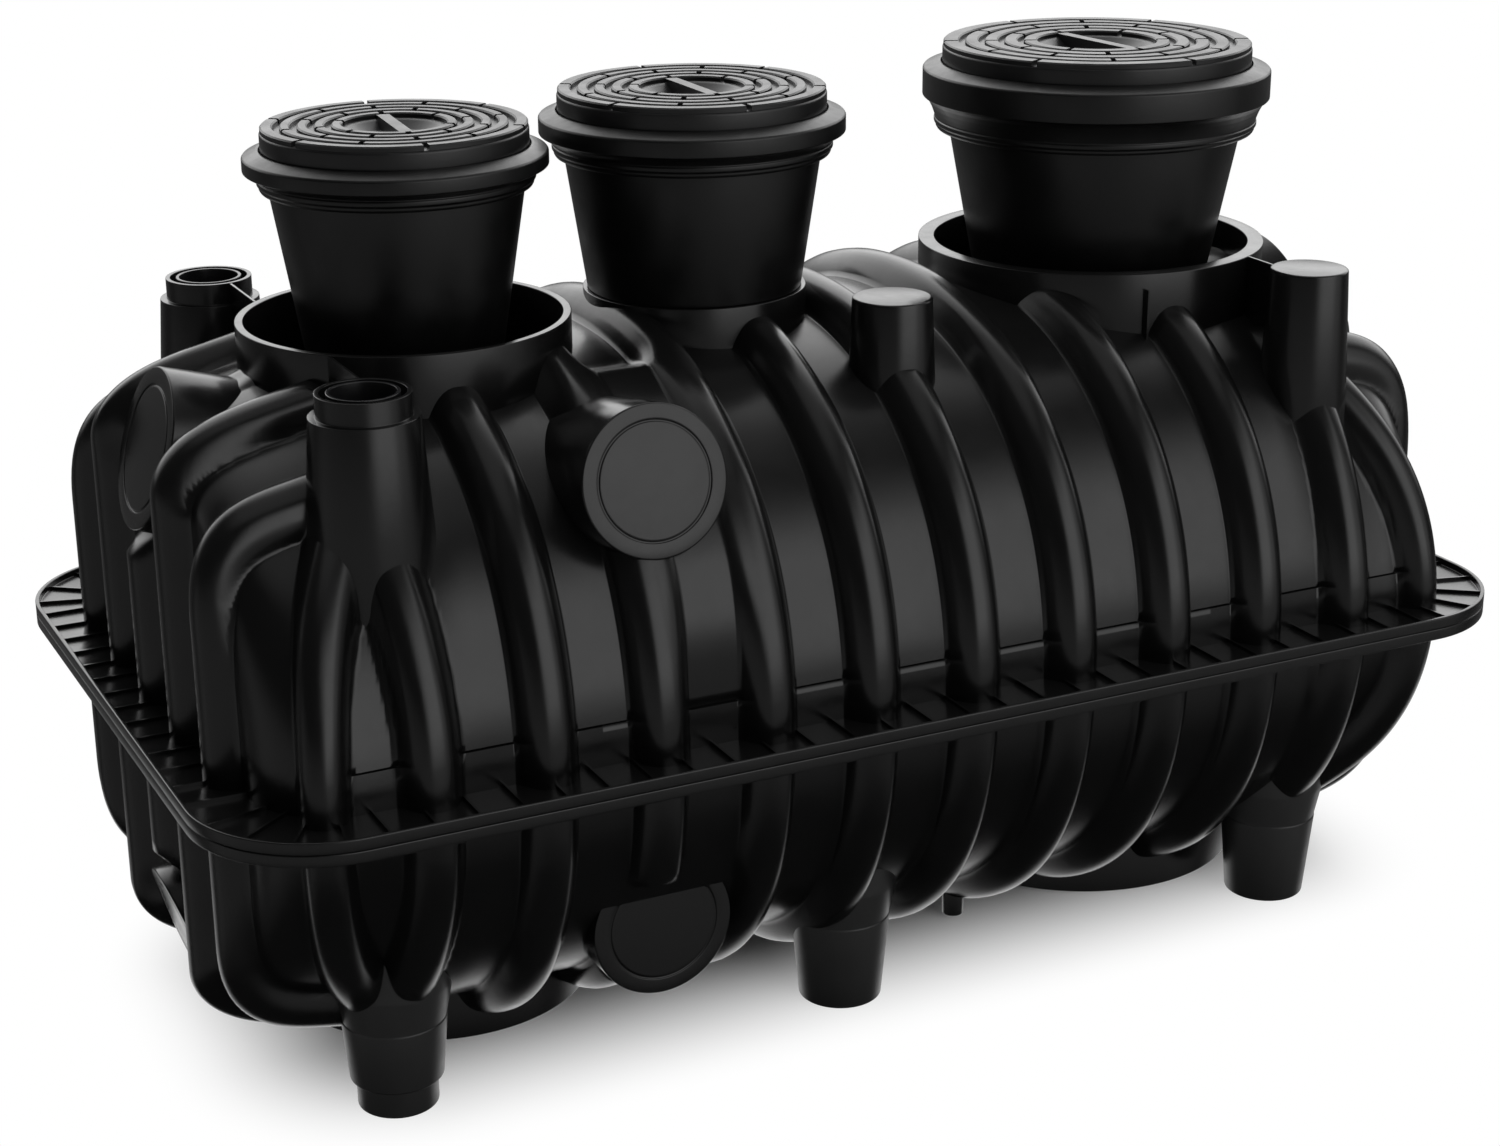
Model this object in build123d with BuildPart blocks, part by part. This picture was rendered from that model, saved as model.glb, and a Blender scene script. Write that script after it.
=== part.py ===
from build123d import *
from math import atan2, cos, pi, radians, sin, sqrt
import os

os.makedirs("parts", exist_ok=True)

# Septic tank moulded in two ribbed half-shells, which meet at a flange half way up.
# Lengths are millimetres. X runs along the tank, Y across it, Z up from the soles of the feet.

# Driving sizes of the ribbed body, over the crests of the ribs
rib_pitch = 236.0
hoop_count = 10
half_width = 800.0
crown_height = 742.0
end_reach = 1423.0
rib_depth = 58.0
rib_base = 150.0
rib_crest = 56.0
wall = 12.0
barrel_reach = 708.0
side_share = 0.75
side_rise = 80.0

# Rounding of the ends, in plan and in the crown
corner_radius = 236.0
end_fall = 200.0
end_run = 480.0
end_rib_count = 5
end_rib_width = 96.0
end_rib_reach = 330.0
corner_rib_x = -1118.0
corner_rib_y = 504.0
corner_rib_reach = 500.0
corner_rib_turn = 58.0

# Flange between the halves
flange_overhang = 73.0
flange_corner = 272.0
flange_plate = 10.0
flange_rim_height = 25.0
flange_rim_width = 9.0

# Necks: place along the tank, outer radius, rim height over the seam, wall at the rim
left_neck = (-814.0, 344.0, 755.0, 17.0)
middle_neck = (-154.0, 240.0, 745.0, 17.0)
right_neck = (856.0, 395.0, 742.0, 36.0)
neck_root = 560.0
seat_height = 660.0
seat_overlap = 10.0

# Base rings: the outer necks repeated under the lower half, just clear of the ground
base_ring_wall = 17.0
base_ring_clearance = 6.0

# Risers, in pairs to the front and the back
riser_y = 516.0
riser_height = 755.0
riser_root = 300.0
open_riser_x = -1078.0
open_riser_base = 135.0
open_riser_shoulder = 106.0
socket_height = 45.0
socket_radius = 92.0
socket_bore = 82.5
socket_depth = 70.0
pipe_radius = 70.0
pipe_wall = 7.0
middle_riser = (125.0, 375.0, 765.0)
right_riser = (1078.0, 530.0, 752.0)
closed_riser_base = 104.0
closed_riser_top = 84.0
riser_wall = 9.0

# Feet, in pairs
foot_height = 750.0
foot_root = 300.0
foot_base = 114.0
foot_top = 90.0
foot_y = 500.0
left_foot_step = 62.0
left_foot_peg = 83.0
foot_places = {"left": -1080.0, "middle": -58.0, "right": 1080.0}

# Pipe bosses: upright discs where a pipe can be let in
boss_height = 545.0
lower_side_boss_height = 400.0
side_boss_x = -556.0
side_boss_reach = 670.0
side_boss_radius = 152.0
side_boss_lean = 12.0
end_boss_reach = 1388.0
end_boss_radius = 160.0
boss_depth = 400.0
end_boss_depth = 225.0
boss_groove_radius = 120.0
boss_groove = 5.0

# Shafts: foot level and radius, top level and radius, over the seam
shaft_wall = 8.0
left_shaft = (672.0, 202.0, 1022.0, 259.0)
middle_shaft = (745.0, 230.0, 1030.0, 273.0)
right_shaft = (672.0, 268.0, 996.0, 330.0)

# Collars and lids: level of the lid's top over the seam, radius of collar and lid
left_cover = (1150.0, 308.0, 270.0)
middle_cover = (1171.0, 325.0, 285.0)
right_cover = (1191.0, 391.0, 347.0)
collar_skirt_height = 34.0
collar_skirt_step = 17.0
cover_gap = 3.0
lid_rise = 42.0
lid_thickness = 14.0
lid_wall = 10.0
lid_skirt = 18.0
bowl_share = 0.38
bowl_depth = 26.0
bowl_slope = 12.0
grip_width = 22.0
grip_sink = 2.0

seam = foot_height


def section_face(plane, width, crown):
    """Closed half-section of the tank: an upright side, a side arc and a crown arc, tangent."""
    side_arc = side_share * crown
    rise = side_rise * crown / crown_height
    centre_y = width - side_arc
    spare = crown - side_arc
    drop = (centre_y ** 2 + rise ** 2 - spare ** 2) / (2 * (spare - rise))
    crown_arc = crown + drop
    lean = atan2(centre_y, rise + drop)
    joint = (crown_arc * sin(lean), crown_arc * cos(lean) - drop)
    turn = (pi / 2 - lean) / 2
    middle = (centre_y + side_arc * cos(turn), rise + side_arc * sin(turn))
    with BuildSketch(plane) as face:
        with BuildLine():
            Line((-width, 0), (width, 0))
            Line((width, 0), (width, rise))
            ThreePointArc((width, rise), middle, joint)
            ThreePointArc(joint, (0, crown), (-joint[0], joint[1]))
            ThreePointArc((-joint[0], joint[1]), (-middle[0], middle[1]), (-width, rise))
            Line((-width, rise), (-width, 0))
        make_face()
    return face.sketch


def falls(x):
    """How far the crest surface has fallen at x: from the full width, and from the crown."""
    from_end = end_reach - abs(x)
    width_fall = 0.0
    crown_fall = 0.0
    if from_end < corner_radius:
        width_fall = corner_radius - sqrt(corner_radius ** 2 - (corner_radius - from_end) ** 2)
    if from_end < end_run:
        crown_fall = end_fall * (1 - sqrt(1 - (1 - from_end / end_run) ** 2))
    return width_fall, crown_fall


def body_section(x, inset, draw_x):
    """Section of the body whose crest surface is read at x, set in all round and drawn at draw_x."""
    width_fall, crown_fall = falls(x)
    plane = Plane(origin=(draw_x, 0, seam), x_dir=(0, 1, 0), z_dir=(1, 0, 0))
    return section_face(plane, half_width - width_fall - inset, crown_height - crown_fall - inset)


def end_stations():
    """Places along one end where its rounding is drawn, from the end plane inwards."""
    steps = 4
    turn = pi / 2 / steps
    stations = [corner_radius * (1 - cos(step * turn)) for step in range(steps + 1)]
    return stations


def rib_profile():
    """Half of one hoop rib: distance from its middle, and depth below the crest."""
    shoulder = (rib_base - rib_crest) / 2
    return [
        (rib_crest / 2, 0.0),
        (rib_crest / 2 + 0.45 * shoulder, 0.25 * rib_depth),
        (rib_crest / 2 + 0.8 * shoulder, 0.75 * rib_depth),
        (rib_base / 2, rib_depth),
    ]


hoop_places = [(number - (hoop_count - 1) / 2) * rib_pitch for number in range(hoop_count)]


def hoop_stations(places, inset):
    """Stations of the hoop ribs at the given places: where drawn, and how far set in."""
    stations = []
    for place in places:
        half = rib_profile()
        stations += [(place - reach, depth + inset) for reach, depth in half[::-1]]
        stations += [(place + reach, depth + inset) for reach, depth in half]
    return stations


def barrel_form(inset):
    """Ribbed middle of the half-shell, as one loft of sections along the tank."""
    middle = [place for place in hoop_places if abs(place) < barrel_reach]
    stations = [(-barrel_reach, rib_depth + inset)] + hoop_stations(middle, inset)
    stations += [(barrel_reach, rib_depth + inset)]
    with BuildPart() as form:
        for place, depth in stations:
            add(body_section(place, depth, place))
        loft(ruled=True)
    return form.part


def end_form(inset):
    """Left end of the half-shell, rounded in plan and crown, with the hoop ribs nearest to it."""
    depth = rib_depth + inset
    with BuildPart() as form:
        for station in end_stations():
            place = station - end_reach
            pull = depth * (1 - station / corner_radius)
            add(body_section(place, depth, place + pull))
        outer = [place for place in hoop_places if place < -barrel_reach]
        for place, set_in in hoop_stations(outer, inset) + [(-barrel_reach, depth)]:
            add(body_section(place, set_in, place))
        loft(ruled=True)
    return form.part


def end_crest():
    """Left end over the crests of its ribs."""
    with BuildPart() as form:
        for station in end_stations() + [end_run]:
            add(body_section(station - end_reach, 0, station - end_reach))
        loft(ruled=True)
    return form.part


def turned(x, profile, y=0.0, turn=1.0):
    """Ring or disc turned from a profile of (radius, height over the seam) about an upright axis."""
    with BuildPart() as piece:
        with BuildSketch(Plane(origin=(x, y, seam), x_dir=(1, 0, 0), z_dir=(0, -1, 0))):
            with BuildLine():
                Polyline([(radius, turn * height) for radius, height in profile], close=True)
            make_face()
        revolve(axis=Axis((x, y, 0), (0, 0, 1)))
    return piece.part


def block(low, high):
    """Box between two corners."""
    with BuildPart() as piece:
        with Locations(((low[0] + high[0]) / 2, (low[1] + high[1]) / 2, (low[2] + high[2]) / 2)):
            Box(high[0] - low[0], high[1] - low[1], high[2] - low[2])
    return piece.part


def joined(first, others, mode=Mode.ADD):
    """First solid with the others fused to it, or taken from it."""
    with BuildPart() as piece:
        add(first)
        for other in others:
            add(other, mode=mode)
    return piece.part


def cut(first, others):
    return joined(first, others, Mode.SUBTRACT)


def common(first, other):
    return joined(first, [other], Mode.INTERSECT)


def mirrored(part, plane):
    with BuildPart() as piece:
        mirror(part, about=plane)
    return piece.part


def save(part, name):
    """Writes one finished piece under its own name."""
    solids = part.solids()
    part = solids[0] if len(solids) == 1 else Compound(children=solids)
    part.label = name
    export_step(part, "parts/" + name + ".step")
    print(name, len(solids), round(part.volume / 1e6, 2))


seam_plane = Plane.XY.offset(seam)

def end_ribs(crest):
    """Upright ribs of the left end, and one at each corner that leads to the riser."""
    with BuildPart() as ribs:
        for number in range(end_rib_count):
            place = (number - (end_rib_count - 1) / 2) * rib_pitch
            add(block((-end_reach, place - end_rib_width / 2, seam),
                      (-end_reach + end_rib_reach, place + end_rib_width / 2, seam + crown_height)))
        for side in (-1, 1):
            turn = side * corner_rib_turn
            swing = Plane(origin=(corner_rib_x, side * corner_rib_y, seam),
                          x_dir=(-cos(radians(turn)), sin(radians(turn)), 0))
            with BuildSketch(swing):
                Rectangle(corner_rib_reach, end_rib_width, align=(Align.MIN, Align.CENTER))
            extrude(amount=crown_height)
        add(crest, mode=Mode.INTERSECT)
    return ribs.part


def neck_tube(neck):
    place, radius, height, thickness = neck
    return turned(place, [(radius - thickness, neck_root), (radius, neck_root),
                          (radius, height), (radius - thickness, height)])


def solid_post(place, y, low, base, high, top, turn=1.0):
    """Outer form of a riser or foot, as a full cone about its upright axis."""
    return turned(place, [(0, low), (base, low), (top, high), (0, high)], y, turn)


# Outer and inner forms of the upper half
barrel_outer = barrel_form(0)
barrel_shell = cut(barrel_outer, [barrel_form(wall)])
left_end_outer = joined(end_form(0), [end_ribs(end_crest())])
left_end_shell = cut(left_end_outer, [end_form(wall)])
right_end_shell = mirrored(left_end_shell, Plane.YZ)
right_end_outer = mirrored(left_end_outer, Plane.YZ)

# Pieces that pass through the upper half
clear_of_crown = crown_height + rib_depth
neck_posts = [turned(place, [(0, neck_root), (radius, neck_root), (radius, clear_of_crown),
                             (0, clear_of_crown)])
              for place, radius, height, thickness in (left_neck, middle_neck, right_neck)]
shoulder_height = riser_height - socket_height
open_post = [(0, riser_root), (open_riser_base, riser_root), (open_riser_shoulder, shoulder_height),
             (0, shoulder_height)]
riser_posts = []
for side in (-1, 1):
    riser_posts.append(turned(open_riser_x, open_post, side * riser_y))
    for place, y, height in (middle_riser, right_riser):
        riser_posts.append(solid_post(place, side * y, riser_root, closed_riser_base,
                                      height, closed_riser_top))
upper_posts = neck_posts + riser_posts
save(cut(barrel_shell, upper_posts), "upper_barrel")
save(cut(left_end_shell, upper_posts), "upper_left_end")
save(cut(right_end_shell, upper_posts), "upper_right_end")

# Lower half
foot_posts = []
for side in (-1, 1):
    for name, place in foot_places.items():
        foot_posts.append(solid_post(place, side * foot_y, foot_root, foot_base,
                                     foot_height, foot_top, -1.0))
lower_barrel = mirrored(barrel_shell, seam_plane)
lower_left_end = mirrored(left_end_shell, seam_plane)
lower_right_end = mirrored(right_end_shell, seam_plane)
save(cut(lower_barrel, foot_posts), "lower_barrel")
save(cut(lower_left_end, foot_posts), "lower_left_end")
save(cut(lower_right_end, foot_posts), "lower_right_end")

# Flange trays
with BuildPart() as tray:
    with BuildSketch(seam_plane):
        RectangleRounded(2 * (end_reach + flange_overhang), 2 * (half_width + flange_overhang),
                         flange_corner)
    extrude(amount=flange_rim_height)
    with BuildSketch(Plane.XY.offset(seam + flange_plate)):
        RectangleRounded(2 * (end_reach + flange_overhang - flange_rim_width),
                         2 * (half_width + flange_overhang - flange_rim_width),
                         flange_corner - flange_rim_width)
    extrude(amount=flange_rim_height, mode=Mode.SUBTRACT)
upper_flange = cut(tray.part, [barrel_outer, left_end_outer, right_end_outer])
save(upper_flange, "upper_flange")
save(mirrored(upper_flange, seam_plane), "lower_flange")

# Necks
for name, neck, shaft in (("left_neck", left_neck, left_shaft), ("middle_neck", middle_neck, middle_shaft),
                          ("right_neck", right_neck, right_shaft)):
    place, radius, height, thickness = neck
    tube = neck_tube(neck)
    if shaft[0] < height:
        inner = shaft[1] - shaft_wall - seat_overlap
        shelf = turned(place, [(inner, seat_height), (radius - thickness, seat_height),
                               (radius - thickness, shaft[0]), (inner, shaft[0])])
        tube = joined(tube, [shelf])
    save(tube, name)

# Base rings
for name, neck in (("left_base_ring", left_neck), ("right_base_ring", right_neck)):
    place, radius, height, thickness = neck
    low = foot_height - base_ring_clearance
    ring = turned(place, [(radius - base_ring_wall, neck_root), (radius, neck_root),
                          (radius, low), (radius - base_ring_wall, low)])
    ring = cut(ring, [barrel_outer, left_end_outer, right_end_outer])
    save(mirrored(ring, seam_plane), name)

# Risers
open_riser_profile = [
    (pipe_radius - pipe_wall, riser_root), (open_riser_base, riser_root),
    (open_riser_shoulder, shoulder_height), (socket_radius, shoulder_height),
    (socket_radius, riser_height), (socket_bore, riser_height),
    (socket_bore, riser_height - socket_depth), (pipe_radius - pipe_wall, riser_height - socket_depth),
]
pipe_profile = [
    (pipe_radius - pipe_wall, riser_height - socket_depth), (pipe_radius, riser_height - socket_depth),
    (pipe_radius, riser_height), (pipe_radius - pipe_wall, riser_height),
]


def closed_post(base, top, low, high):
    """Profile of a hollow cone with a closed end."""
    return [(base - riser_wall, low), (base, low), (top, high), (0, high), (0, high - riser_wall),
            (top - riser_wall, high - riser_wall)]


for side, where in ((-1, "front"), (1, "back")):
    save(turned(open_riser_x, open_riser_profile, side * riser_y), where + "_left_riser")
    save(turned(open_riser_x, pipe_profile, side * riser_y), where + "_left_pipe")
    for name, (place, y, height) in (("middle", middle_riser), ("right", right_riser)):
        profile = closed_post(closed_riser_base, closed_riser_top, riser_root, height)
        save(turned(place, profile, side * y), where + "_" + name + "_riser")
    for name, place in foot_places.items():
        profile = closed_post(foot_base, foot_top, foot_root, foot_height)
        if name == "left":
            step = foot_height - left_foot_step
            slope = (foot_base - foot_top) / (foot_height - foot_root)
            profile[2:3] = [(foot_top + slope * left_foot_step, step), (left_foot_peg, step),
                            (left_foot_peg, foot_height)]
            profile[-1] = (left_foot_peg - riser_wall, foot_height - riser_wall)
        save(turned(place, profile, side * foot_y, -1.0), where + "_" + name + "_foot")


# Pipe bosses
def boss(plane, radius, depth):
    """Disc boss with a scribed circle, drawn on its face and run back into the shell."""
    with BuildPart() as piece:
        with BuildSketch(plane):
            Circle(radius)
        extrude(amount=-depth)
        with BuildSketch(plane):
            Circle(boss_groove_radius)
            Circle(boss_groove_radius - boss_groove, mode=Mode.SUBTRACT)
        extrude(amount=-boss_groove, mode=Mode.SUBTRACT)
    return piece.part


def side_boss(height, lean):
    """Boss on the front at a height over the seam, its face leaning back by an angle."""
    plane = Plane(origin=(side_boss_x, -side_boss_reach, seam + height), x_dir=(1, 0, 0),
                  z_dir=(0, -cos(radians(lean)), sin(radians(lean))))
    return cut(boss(plane, side_boss_radius, boss_depth), [barrel_outer, left_end_outer] + neck_posts)


end_plane = Plane(origin=(-end_boss_reach, 0, seam + boss_height), x_dir=(0, 1, 0), z_dir=(-1, 0, 0))
left_boss = cut(boss(end_plane, end_boss_radius, end_boss_depth), [left_end_outer])
upper_side = side_boss(boss_height, side_boss_lean)
lower_side = side_boss(lower_side_boss_height, 0)
for upper, lower, name in ((upper_side, lower_side, "front_boss"),
                           (mirrored(upper_side, Plane.XZ), mirrored(lower_side, Plane.XZ), "back_boss"),
                           (left_boss, left_boss, "left_boss"),
                           (mirrored(left_boss, Plane.YZ), mirrored(left_boss, Plane.YZ), "right_boss")):
    save(cut(upper, neck_posts), "upper_" + name)
    save(mirrored(cut(lower, neck_posts), seam_plane), "lower_" + name)

# Shafts, collars and lids
for name, neck, shaft, cover in (("left", left_neck, left_shaft, left_cover),
                                 ("middle", middle_neck, middle_shaft, middle_cover),
                                 ("right", right_neck, right_shaft, right_cover)):
    place = neck[0]
    low, base, high, top = shaft
    save(turned(place, [(base - shaft_wall, low), (base, low), (top, high), (top - shaft_wall, high)]),
         name + "_shaft")
    lid_top, collar_radius, lid_radius = cover
    collar_top = lid_top - lid_rise
    seat = collar_top - lid_skirt
    skirt_top = high + collar_skirt_height
    inner = top - shaft_wall
    save(turned(place, [(inner, high), (collar_radius - collar_skirt_step, high),
                        (collar_radius - collar_skirt_step, skirt_top), (collar_radius, skirt_top),
                        (collar_radius, collar_top), (lid_radius + cover_gap, collar_top),
                        (lid_radius + cover_gap, seat), (inner, seat)]), name + "_collar")
    bowl = bowl_share * lid_radius
    floor = lid_top - bowl_depth
    under = lid_top - lid_thickness
    lid = turned(place, [(0, floor - lid_thickness), (bowl + lid_wall, floor - lid_thickness),
                         (bowl + lid_wall, under), (lid_radius - lid_wall, under),
                         (lid_radius - lid_wall, seat), (lid_radius, seat), (lid_radius, lid_top),
                         (bowl, lid_top), (bowl - bowl_slope, floor), (0, floor)])
    bar = block((place - bowl, -grip_width / 2, seam + floor),
                (place + bowl, grip_width / 2, seam + lid_top))
    inside = turned(place, [(0, floor - grip_sink), (bowl + grip_sink, floor - grip_sink),
                            (bowl + grip_sink, lid_top - grip_sink), (0, lid_top - grip_sink)])
    save(joined(lid, [common(bar, inside)]), name + "_lid")
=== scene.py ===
# %% [markdown]
# # A ribbed polyethylene septic tank
# The tank is moulded in two half-shells that meet at a flange. This lesson dresses the measured
# model of the tank in smooth surfaces: each one is a formula in numpy, evaluated on a grid.
# The first cell loads the measured model, whose places and sizes all later cells read.

# %% Load the measured model
import bmesh
import bpy
import numpy as np
from mathutils import Matrix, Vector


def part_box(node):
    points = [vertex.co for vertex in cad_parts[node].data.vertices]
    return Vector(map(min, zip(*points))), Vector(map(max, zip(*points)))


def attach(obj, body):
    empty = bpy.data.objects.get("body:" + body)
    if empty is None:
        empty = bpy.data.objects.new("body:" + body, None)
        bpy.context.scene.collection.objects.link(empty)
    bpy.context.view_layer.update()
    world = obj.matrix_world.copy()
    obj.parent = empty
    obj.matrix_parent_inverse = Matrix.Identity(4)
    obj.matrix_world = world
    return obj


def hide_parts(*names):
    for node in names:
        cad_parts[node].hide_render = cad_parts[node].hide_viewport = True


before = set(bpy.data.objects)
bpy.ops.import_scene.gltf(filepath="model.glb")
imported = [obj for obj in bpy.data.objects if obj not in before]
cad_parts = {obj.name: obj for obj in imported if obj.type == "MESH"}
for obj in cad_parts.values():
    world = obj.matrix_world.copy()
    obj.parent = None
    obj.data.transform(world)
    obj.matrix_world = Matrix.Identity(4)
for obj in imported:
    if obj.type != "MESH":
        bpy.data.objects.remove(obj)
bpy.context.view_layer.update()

# %% [markdown]
# ## Sizes read from the model
# A few sizes rule the whole body: the rib pitch, the half width, the height of the crown over the
# seam and the reach of the ends. The seam, the width and the reach are read from the boxes of the
# measured pieces, so the surfaces follow the model when it changes. The rest are written once here.

# %% Driving sizes
PITCH = 0.236
barrel_low, barrel_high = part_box("upper_barrel")
end_low, end_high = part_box("upper_right_end")
SEAM = barrel_low.z
HALF_WIDTH = barrel_high.y
CROWN = 0.742
REACH = end_high.x
BARREL_REACH = barrel_high.x
WALL = 0.012
RIB_DEPTH = 0.058
CORNER = 0.236
END_RUN = 0.480
END_FALL = 0.200
print("seam", round(SEAM, 3), "half width", round(HALF_WIDTH, 3), "reach", round(REACH, 3))

# %% [markdown]
# ## From numbers to meshes
# A grid of points becomes a mesh with one four-sided face for each cell. Two helpers do this for
# every piece: one numbers the cells of a grid, the other makes the object, merges the points that
# coincide at seams and poles, and marks open edges and those sharper than an angle. Smooth shading
# with a few sharp edges keeps the faces few and the outlines crisp.

# %% Mesh helpers
def cell_faces(rows, columns, first=0):
    """Corner numbers of each cell of a grid stored row by row."""
    corner = first + np.arange(rows - 1)[:, None] * columns + np.arange(columns - 1)[None, :]
    corner = corner.ravel()
    return np.stack([corner, corner + columns, corner + columns + 1, corner + 1], axis=1)


def make_piece(name, parts, material, nodes=(), sharp=40.0):
    """One object from several (points, faces) parts, welded where points coincide."""
    points, faces, count = [], [], 0
    for part_points, part_faces in parts:
        part_points = np.asarray(part_points, float).reshape(-1, 3)
        points.append(part_points)
        faces.append(np.asarray(part_faces) + count)
        count += len(part_points)
    mesh = bpy.data.meshes.new(name)
    mesh.from_pydata(np.concatenate(points).tolist(), [], np.concatenate(faces).tolist())
    solid = bmesh.new()
    solid.from_mesh(mesh)
    bmesh.ops.remove_doubles(solid, verts=solid.verts, dist=1e-5)
    bmesh.ops.dissolve_degenerate(solid, dist=1e-6, edges=solid.edges)
    for face in solid.faces:
        face.smooth = True
    for edge in solid.edges:
        edge.smooth = len(edge.link_faces) == 2 and edge.calc_face_angle(0) < np.radians(sharp)
    solid.to_mesh(mesh)
    solid.free()
    mesh.materials.append(material)
    piece = bpy.data.objects.new(name, mesh)
    bpy.context.scene.collection.objects.link(piece)
    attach(piece, "root")
    if nodes:
        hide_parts(*nodes)
    print(name, len(mesh.polygons), "faces")
    return piece


# %% [markdown]
# ## Materials
# The tank and its shafts are black polyethylene, which stays a little waxy: a dark colour with a
# soft, broad gloss. It could be one flat black, but then every face would look cut from paper.
# Moulding leaves a fine orange-peel skin, so a small noise drives the bump, and a larger one varies
# the gloss in patches as dust and handling do. The real skin's grain is about 1 mm, too fine to
# show at this distance, so it is drawn several times as coarse.

# %% Colour and node helpers
def from_hex(code):
    """sRGB hex colour turned to linear light."""
    parts = np.array([int(code[place:place + 2], 16) for place in (0, 2, 4)]) / 255
    linear = np.where(parts <= 0.04045, parts / 12.92, ((parts + 0.055) / 1.055) ** 2.4)
    return (*[float(value) for value in linear], 1.0)


def add_node(tree, kind, values=None, links=None, **settings):
    """Adds a node, sets its properties and socket values, and links its inputs."""
    node = tree.nodes.new(kind)
    for key, value in settings.items():
        setattr(node, key, value)
    for key, value in (values or {}).items():
        node.inputs[key].default_value = value
    for key, source in (links or {}).items():
        tree.links.new(source, node.inputs[key])
    return node


POLYETHYLENE_IOR = 1.51


def moulded_plastic(name, dark, pale, rough_low, rough_high, grain_mm, bump):
    """Black polyethylene: two close greys mixed by a broad noise, gloss and grain by finer ones."""
    material = bpy.data.materials.new(name)
    material.use_nodes = True
    tree = material.node_tree
    shader = tree.nodes["Principled BSDF"]
    place = add_node(tree, "ShaderNodeTexCoord").outputs["Object"]
    patches = add_node(tree, "ShaderNodeTexNoise", {"Scale": 3.0, "Detail": 5.0, "Roughness": 0.6},
                       {"Vector": place})
    colour = add_node(tree, "ShaderNodeMix", {6: from_hex(dark), 7: from_hex(pale)},
                      {0: patches.outputs["Fac"]}, data_type="RGBA")
    smears = add_node(tree, "ShaderNodeTexNoise", {"Scale": 11.0, "Detail": 6.0, "Roughness": 0.65},
                      {"Vector": place})
    gloss = add_node(tree, "ShaderNodeMapRange", {"From Min": 0.35, "From Max": 0.65,
                                                  "To Min": rough_low, "To Max": rough_high},
                     {"Value": smears.outputs["Fac"]})
    grain = add_node(tree, "ShaderNodeTexNoise", {"Scale": 1000.0 / grain_mm, "Detail": 3.0},
                     {"Vector": place})
    relief = add_node(tree, "ShaderNodeBump", {"Strength": bump, "Distance": 0.001},
                      {"Height": grain.outputs["Fac"]})
    tree.links.new(colour.outputs[2], shader.inputs["Base Color"])
    tree.links.new(gloss.outputs["Result"], shader.inputs["Roughness"])
    tree.links.new(relief.outputs["Normal"], shader.inputs["Normal"])
    shader.inputs["IOR"].default_value = POLYETHYLENE_IOR
    return material


# The tank is rotomoulded: the outside copies the polished mould and mirrors the room fairly sharply.
tank_skin = moulded_plastic("rotomoulded_black_polyethylene", "070707", "0b0b0b", 0.20, 0.27, 9.0, 0.08)
# The shafts and collars are duller, so their sides look deep black.
shaft_skin = moulded_plastic("black_polyethylene_shaft", "050505", "090909", 0.30, 0.42, 6.0, 0.12)
# The feet are a little greyer than the tank: painted light, standing in for the light that bounces up from
# the floor onto the legs.
painted_bounce_foot_material = moulded_plastic("black_polyethylene_foot_with_painted_bounce_light", "1e1e1e", "252525", 0.32, 0.42, 8.0, 0.10)
# Lids are injection moulded, with an even satin on the treads, and pipes are drawn smooth.
lid_skin = moulded_plastic("injection_moulded_polyethylene_lid", "0c0c0d", "111111", 0.30, 0.40, 5.0, 0.10)
pipe_skin = moulded_plastic("extruded_black_pipe", "0c0c0d", "101011", 0.26, 0.32, 7.0, 0.06)

# %% [markdown]
# ## The crest surface of a half-shell
# Laid over the crests of its ribs, a half-shell is one smooth cushion. Cut across, it is a
# superellipse whose width and height stay the same in the barrel and shrink towards the end plane:
# in plan by a round corner, in height by a quarter ellipse. Such a surface could be lofted through
# drawn sections, but as a formula it gives the height at any point, which the ribs need.

# %% Crest sections
AXIS_REACH = 0.9
BISECTIONS = 30


def end_gap(x):
    """Distance from the nearer end plane."""
    return np.clip(REACH - np.abs(x), 0.0, None)


def section_width(x):
    """Half width of the section: full, less the fall of a round corner of the plan."""
    back = 1 - np.clip(end_gap(x) / CORNER, 0, 1)
    return HALF_WIDTH - CORNER * (1 - np.sqrt(1 - back ** 2))


def section_height(x):
    """Height of the section: full, less the fall of a quarter ellipse of END_RUN by END_FALL."""
    back = 1 - np.clip(end_gap(x) / END_RUN, 0, 1)
    return CROWN - END_FALL * (1 - np.sqrt(1 - back ** 2))


def section_power(x):
    """Exponent of the superellipse, a little flatter where the end bends over."""
    part = np.clip(end_gap(x) / END_RUN, 0, 1)
    return 2.2 - 4.0 * (part * (1 - part)) ** 2


def crest_points(box_points):
    """Points of a box drawn in along rays to the tank's axis until they meet the crest surface.

    Each ray starts on the axis, no further out than AXIS_REACH, and a bisection halves the
    stretch where it passes from inside the superellipse to outside.
    """
    start = np.zeros_like(box_points)
    start[:, 0] = np.clip(box_points[:, 0], -AXIS_REACH, AXIS_REACH)
    ray = box_points - start
    low, high = np.zeros(len(ray)), np.ones(len(ray))
    for step in range(BISECTIONS):
        half = (low + high) / 2
        x, y, z = (start + half[:, None] * ray).T
        power = section_power(x)
        inside = (np.abs(y) / section_width(x)) ** power + (z / section_height(x)) ** power < 1
        inside &= np.abs(x) < REACH
        low, high = np.where(inside, half, low), np.where(inside, high, half)
    return start + low[:, None] * ray


# %% [markdown]
# ## Ribs
# The ribs are hoops over the barrel, upright ribs up each end, and one slanted rib at each corner
# that climbs to its riser. They stiffen the shell against the soil. Each could be a swept tube
# joined to the shell, but the join would need a fillet all along. So a rib is a relief of the skin:
# a bell curve across its line with a rounded crest. Where ribs meet, a power mean joins them.

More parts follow.
